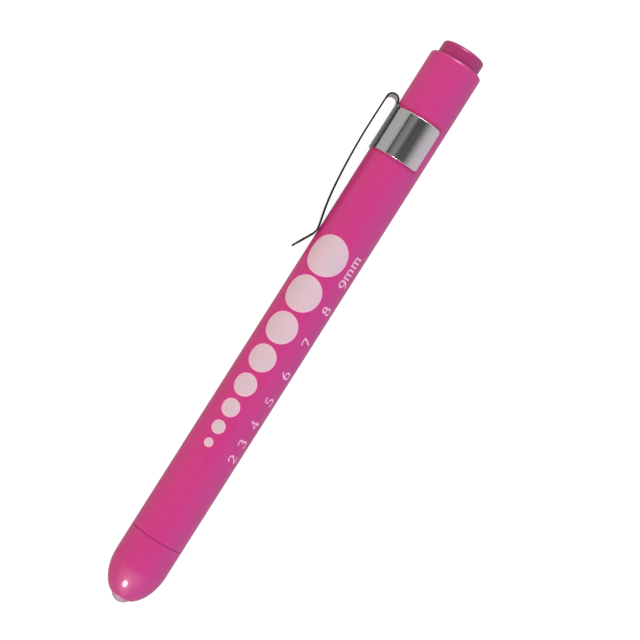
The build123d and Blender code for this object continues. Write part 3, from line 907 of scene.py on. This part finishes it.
def arc(cx, cy, rx, ry, start, end, steps=18):
    """Points on an ellipse, from one angle to another in degrees."""
    return [(cx + rx * math.cos(math.radians(a)), cy + ry * math.sin(math.radians(a)))
            for a in steps_between(start, end, steps)]


def stem(x, low, high, foot=0.085):
    """A thick upright with its two serifs."""
    return [("pen", [(x, low), (x, high)]), ("hair", [(x - foot, low + 0.02), (x + foot, low + 0.02)])]


stem_pitch = 0.33
letter_foot, letter_top = 0.22, 0.90
arch_rise = 0.17


def letter_m(x):
    """A lower-case m, its left foot at x, on a line that stands a little over the figures' feet."""
    shoulder = letter_top - arch_rise
    strokes = [("hair", [(x - 0.09, letter_top - 0.02), (x + 0.03, letter_top)])]
    for k in range(3):
        strokes += stem(x + stem_pitch * k, letter_foot, shoulder if k else letter_top)
    for k in range(2):
        middle = x + stem_pitch * (k + 0.5)
        strokes.append(("pen", arc(middle, shoulder - 0.02, stem_pitch / 2, arch_rise, 165, 0)))
    return strokes


# Each figure's strokes, on a body from 0 at its feet to 1 at its top, and drawn with one of three nibs.
figures = {
    2: [("pen", arc(0.27, 0.72, 0.22, 0.25, 165, -35) + [(0.05, 0.05)]),
        ("bar", [(0.03, 0.045), (0.52, 0.045)]), ("hair", [(0.52, 0.05), (0.55, 0.19)])],
    3: [("pen", arc(0.25, 0.76, 0.20, 0.21, 155, -95)), ("pen", arc(0.23, 0.29, 0.26, 0.26, 80, -150))],
    4: [("hair", [(0.42, 0.98), (0.03, 0.29)]), ("bar", [(0.02, 0.28), (0.60, 0.28)]),
        ("pen", [(0.42, 0.98), (0.42, 0.0)]), ("hair", [(0.31, 0.02), (0.53, 0.02)])],
    5: [("bar", [(0.14, 0.94), (0.50, 0.94)]), ("hair", [(0.15, 0.94), (0.10, 0.56)]),
        ("pen", arc(0.22, 0.30, 0.27, 0.28, 115, -150))],
    6: [("pen", arc(0.52, 0.30, 0.45, 0.67, 100, 185)), ("pen", arc(0.30, 0.30, 0.23, 0.28, 0, 360, 32))],
    7: [("bar", [(0.04, 0.94), (0.54, 0.94)]), ("hair", [(0.06, 0.95), (0.03, 0.74)]),
        ("pen", [(0.54, 0.92), (0.24, 0.0)])],
    8: [("pen", arc(0.28, 0.76, 0.18, 0.21, 0, 360, 30)), ("pen", arc(0.28, 0.28, 0.23, 0.26, 0, 360, 32))],
    9: [("pen", arc(0.30, 0.70, 0.23, 0.28, 0, 360, 32)), ("pen", arc(0.08, 0.70, 0.45, 0.67, -80, 5))],
}
figures[9] += letter_m(0.78) + letter_m(1.74)
nib_widths = {"pen": (0.085, 0.165), "bar": (0.115, 0.115), "hair": (0.07, 0.07)}
figure_height = 2.4 * mm
figure_width = 2.95 * mm
figure_shift = 0.5 * mm
figure_nudges = {7: -0.55 * mm}  # the 7 stands a little nearer the tail than its dot does
figure_mesh_step = 0.08


def ribbon(kind, points):
    """A stroke's outline as quads: the nib is thick where it moves upright and thin where it doesn't."""
    thin, thick = nib_widths[kind]
    closed = (Vector(points[0]) - Vector(points[-1])).length < 0.01
    left, right = [], []
    for k, point in enumerate(points):
        before = points[k - 1] if k else (points[-2] if closed else point)
        after = points[(k + 1) % len(points)] if k < len(points) - 1 else (points[1] if closed else point)
        along = (Vector(after) - Vector(before)).normalized()
        width = thin + (thick - thin) * abs(along.y) ** 1.5
        aside = Vector((-along.y, along.x)) * (width / 2)
        left.append(Vector(point) + aside)
        right.append(Vector(point) - aside)
    return [(right[k], right[k + 1], left[k + 1], left[k]) for k in range(len(points) - 1)]


def printed_figure(ink_mesh, rim, strokes, centre_x):
    """Ink in the union of the strokes, meshed finely enough to follow the barrel."""
    quads = [quad for kind, points in strokes for quad in ribbon(kind, points)]
    corners = [corner for quad in quads for corner in quad]
    low_x, high_x = min(c.x for c in corners), max(c.x for c in corners)
    grid = [Vector((x, y))
            for x in steps_between(low_x, high_x, max(2, int((high_x - low_x) / figure_mesh_step)))
            for y in steps_between(0, 1, 14)]
    faces = [list(range(4 * k, 4 * k + 4)) for k in range(len(quads))]
    points, _, triangles, _, _, from_faces = geometry.delaunay_2d_cdt(corners + grid, [], faces, 0, 1e-5)
    middle = (low_x + high_x) / 2
    top, made = {}, []
    for triangle, sources in zip(triangles, from_faces):
        if not sources:
            continue
        for i in triangle:
            if i not in top:
                x = centre_x + figure_shift - (points[i].x - middle) * figure_width
                across = -(points[i].y - 0.5) * figure_height
                top[i] = ink_mesh.verts.new(wrapped(x, across, ink_height, figures_angle))
                top[i][rim] = 1.0
        made.append(ink_mesh.faces.new([top[i] for i in triangle]))
    with_underside(ink_mesh, made)


figure_ink = bmesh.new()
figure_rim = figure_ink.verts.layers.float.new("rim")
for size, centre_x in zip(dot_sizes, dot_places):
    printed_figure(figure_ink, figure_rim, figures[size], centre_x + figure_nudges.get(size, 0))
piece("gauge_figures", figure_ink, "barrel", [ink])


# ---------------------------------------------------------------- springs
def spring(name, node, wire_r, turns, material):
    """A compression spring with a closed coil at each end."""
    back, front, reach = ends(node)
    coil_r = reach - wire_r
    length = front - back - 2 * wire_r
    closed_pitch = 2.04 * wire_r
    rise = length - 2 * closed_pitch
    samples, sides = int(turns * 48), 12

    def height(t):
        """The wire's advance after t turns: one closed coil, the open ones, and one closed coil."""
        if t < 1:
            return t * closed_pitch
        if t > turns - 1:
            return length - (turns - t) * closed_pitch
        return closed_pitch + rise * (t - 1) / (turns - 2)

    coil = bmesh.new()
    rings = []
    for k in range(samples + 1):
        t = turns * k / samples
        a = 2 * pi * t
        outward = Vector((0, math.cos(a), math.sin(a)))
        centre = Vector((back + wire_r + height(t), 0, 0)) + outward * coil_r
        rings.append([
            coil.verts.new(centre + (outward * math.cos(b) + Vector((1, 0, 0)) * math.sin(b)) * wire_r)
            for b in (2 * pi * i / sides for i in range(sides))
        ])
    for here, there in zip(rings, rings[1:]):
        for i in range(sides):
            j = (i + 1) % sides
            coil.faces.new((here[i], there[i], there[j], here[j]))
    coil.faces.new(rings[0])
    coil.faces.new(rings[-1])
    made = piece(name, coil, None, [material], replaces=[node])
    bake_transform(made)


spring("return_coil", "return_spring", 0.2 * mm, 5.5, finishes["spring_steel"])
spring("tail_coil", "tail_spring", 0.25 * mm, 5.0, finishes["spring_steel"])


# ---------------------------------------------------------------- floor, light and surroundings
# The paper glows a little, in place of light from the lamps, and more for the camera, which sees it white.
paper_glow, shown_glow = 0.16, 0.75
floor_half = 1.5
floor_mesh = bpy.data.meshes.new("floor")
floor_corners = [(x * floor_half, y * floor_half, floor_z)
                 for x, y in ((-1, -1), (1, -1), (1, 1), (-1, 1))]
floor_mesh.from_pydata(floor_corners, [], [(0, 1, 2, 3)])
floor = bpy.data.objects.new("floor", floor_mesh)
bpy.context.scene.collection.objects.link(floor)
paper = Finish("pale_paper", Specular_IOR_Level=0.2, Emission_Color=(1, 1, 1, 1))
paper.colour(paper.mix(paper.noise(40, detail=3), (0.315, 0.315, 0.315, 1), (0.325, 0.324, 0.323, 1)))
paper.roughness(paper.spread(paper.noise(3, detail=2), 0.3, 0.7, 0.75, 0.85))
seen = paper.nodes.new("ShaderNodeLightPath").outputs["Is Camera Ray"]
glow = paper.maths("ADD", paper.maths("MULTIPLY", seen, shown_glow), paper_glow)
paper.feed(paper.shader.inputs["Emission Strength"], glow)
floor_mesh.materials.append(paper.material)


lamp_distance = 0.75


def softbox(name, target, along, angle, size, radiance, colour):
    """A round light seen from its target: angle is measured from +Y upwards, along leans it to the nose.

    It only gives glints. The tent gives the light that everything else is seen by.
    """
    lamp = bpy.data.lights.new(name, "AREA")
    lamp.shape = "DISK"
    lamp.size = size
    lamp.energy = radiance * (size / 2) ** 2 * pi * pi
    lamp.color = colour
    along, angle = math.radians(along), math.radians(angle)
    direction = Vector((math.tan(along), math.cos(angle), math.sin(angle))).normalized()
    light = bpy.data.objects.new(name, lamp)
    light.location = target + direction * lamp_distance
    light.rotation_mode = "QUATERNION"
    light.rotation_quaternion = (-direction).to_track_quat("-Z", "Y")
    light.visible_diffuse = False
    bpy.context.scene.collection.objects.link(light)


nose_tip, tail_end = Vector((nose_front, 0, 0)), Vector((barrel_back, 0, 0))
softbox("nose_light", nose_tip, along=55, angle=131, size=0.25, radiance=30, colour=(1, 0.99, 0.98))
softbox("tip_light", nose_tip, along=84, angle=126, size=0.5, radiance=1.3, colour=(1, 0.97, 1))
softbox("tail_light", tail_end, along=-45, angle=116, size=0.42, radiance=12, colour=(1, 0.98, 0.98))


def studio_world():
    """A light tent: across the pen, a dark top between paler sides, and towards the ends it is bright."""
    world = bpy.data.worlds.new("studio")
    bpy.context.scene.world = world
    world.use_nodes = True
    nodes, links = world.node_tree.nodes, world.node_tree.links
    background = next(n for n in nodes if n.type == "BACKGROUND")

    def fed(node, sockets, values):
        """The node with each socket set to its value, or linked to it."""
        for socket, value in zip(sockets, values):
            if isinstance(value, bpy.types.NodeSocket):
                links.new(value, node.inputs[socket])
            else:
                node.inputs[socket].default_value = value
        return node

    def maths(operation, a, b=0.0):
        node = nodes.new("ShaderNodeMath")
        node.operation = operation
        return fed(node, (0, 1), (a, b)).outputs[0]

    def mixed(factor, a, b):
        node = nodes.new("ShaderNodeMix")
        node.data_type = "RGBA"
        return fed(node, (0, 6, 7), (factor, a, b)).outputs[2]

    direction = nodes.new("ShaderNodeSeparateXYZ")
    links.new(nodes.new("ShaderNodeTexCoord").outputs["Generated"], direction.inputs[0])
    half_turns = maths("DIVIDE", maths("ARCTAN2", direction.outputs["Z"], direction.outputs["Y"]), pi)
    lean = maths("ABSOLUTE", direction.outputs["X"])

    def by_height(stops):
        """A colour for each angle, in degrees from +Y upwards, from stops of (angle, brightness, tint)."""
        node = fed(nodes.new("ShaderNodeValToRGB"), (0,), (half_turns,))
        ramp = node.color_ramp.elements
        while len(ramp) < len(stops):
            ramp.new(0.5)
        for element, (degrees, brightness, tint) in zip(ramp, stops):
            element.position = degrees / 180
            element.color = [brightness * t for t in tint] + [1]
        return node.outputs["Color"]

    def leaning(start, end):
        """0 for light from across the pen and 1 for light from nearer its ends."""
        return fed(nodes.new("ShaderNodeMapRange"), range(5), (lean, start, end, 0.0, 1.0)).outputs["Result"]

    grey, rosy, cool, warm = (1, 1, 1), (1.03, 0.96, 1.0), (0.75, 0.97, 1.02), (1.24, 1.0, 0.53)
    pale_side = [(0, 0.60, rosy), (38, 0.62, rosy), (65, 0.54, rosy), (81, 0.30, rosy), (89, 0.17, grey)]
    dark_top = [(96, 0.09, grey), (122, 0.08, grey), (128, 0.13, grey)]
    dim_panel = [(137, 0.27, grey), (143, 0.25, grey), (150, 0.20, grey), (157, 0.19, grey)]
    dark_gap = [(160, 0.05, grey), (163, 0.05, grey)]
    low_panel = [(166, 0.30, grey), (170, 0.43, grey), (180, 0.46, grey)]
    across = by_height(pale_side + dark_top + dim_panel + dark_gap + low_panel)
    endwise = by_height([(0, 0.56, cool), (50, 0.82, cool), (90, 1.9, grey), (125, 2.02, grey),
                         (155, 1.66, warm)])
    tent = mixed(leaning(0.30, 0.50), across, endwise)
    tent = mixed(leaning(0.88, 0.95), tent, (0.45, 0.45, 0.45, 1))
    to_camera = nodes.new("ShaderNodeLightPath").outputs["Is Camera Ray"]
    links.new(mixed(to_camera, tent, (1, 1, 1, 1)), background.inputs["Color"])


studio_world()
bpy.context.scene.view_settings.view_transform = "Standard"
